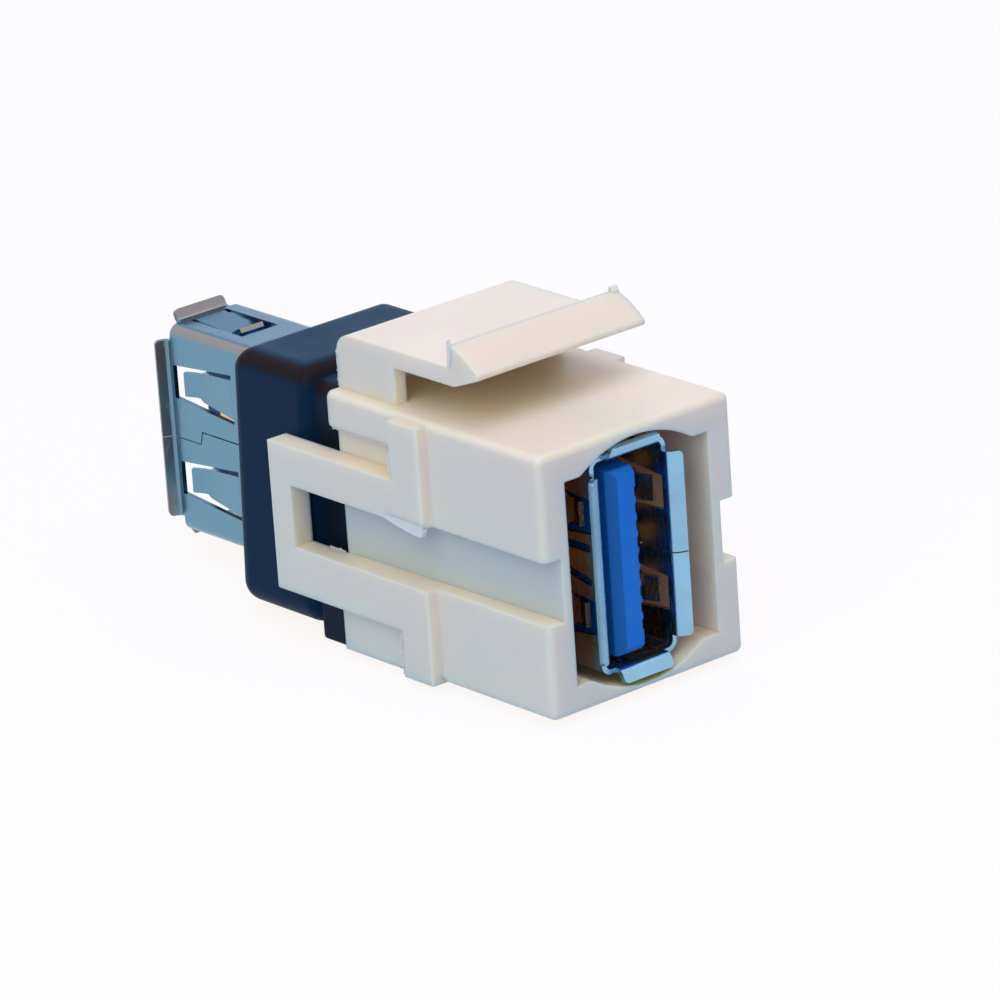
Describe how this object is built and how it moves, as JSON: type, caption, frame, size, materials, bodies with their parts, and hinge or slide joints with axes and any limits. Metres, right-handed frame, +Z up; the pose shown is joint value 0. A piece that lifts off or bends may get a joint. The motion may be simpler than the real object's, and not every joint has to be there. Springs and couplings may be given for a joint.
{
  "type": "usb keystone coupler",
  "caption": "Snap-in keystone housing with a through coupler that has a usb type-a socket at the wall face and another at the back.",
  "frame": {"origin": "under the middle of the whole part's length and width, level with its lowest face, the foot of the insert", "axes": "-Y out of the wall face and its port, +Y out of the rear port, +Z up to the latch, +X to the right of someone who faces the wall face"},
  "size_m": [0.016, 0.0396, 0.021],
  "materials": {
    "housing_plastic": "cream moulded plastic, fine satin",
    "overmould_plastic": "soft black-blue moulding, satin",
    "shell_steel": "bright tinned steel sheet",
    "tongue_plastic": "blue moulded plastic, half gloss",
    "contact_gold": "gold flash on copper alloy",
    "board_laminate": "green laminate"
  },
  "bodies": {
    "root": {"keystone_housing": "housing_plastic", "coupler_overmould": "overmould_plastic", "front_shell": "shell_steel", "rear_shell": "shell_steel", "front_tongue": "tongue_plastic", "rear_tongue": "tongue_plastic", "coupler_board": "board_laminate", "front_ssrx_minus_contact": "contact_gold", "front_ssrx_plus_contact": "contact_gold", "front_drain_contact": "contact_gold", "front_sstx_minus_contact": "contact_gold", "front_sstx_plus_contact": "contact_gold", "front_ground_contact": "contact_gold", "front_d_plus_contact": "contact_gold", "front_d_minus_contact": "contact_gold", "front_vbus_contact": "contact_gold", "rear_ssrx_minus_contact": "contact_gold", "rear_ssrx_plus_contact": "contact_gold", "rear_drain_contact": "contact_gold", "rear_sstx_minus_contact": "contact_gold", "rear_sstx_plus_contact": "contact_gold", "rear_ground_contact": "contact_gold", "rear_d_plus_contact": "contact_gold", "rear_d_minus_contact": "contact_gold", "rear_vbus_contact": "contact_gold"}
  },
  "joints": []
}
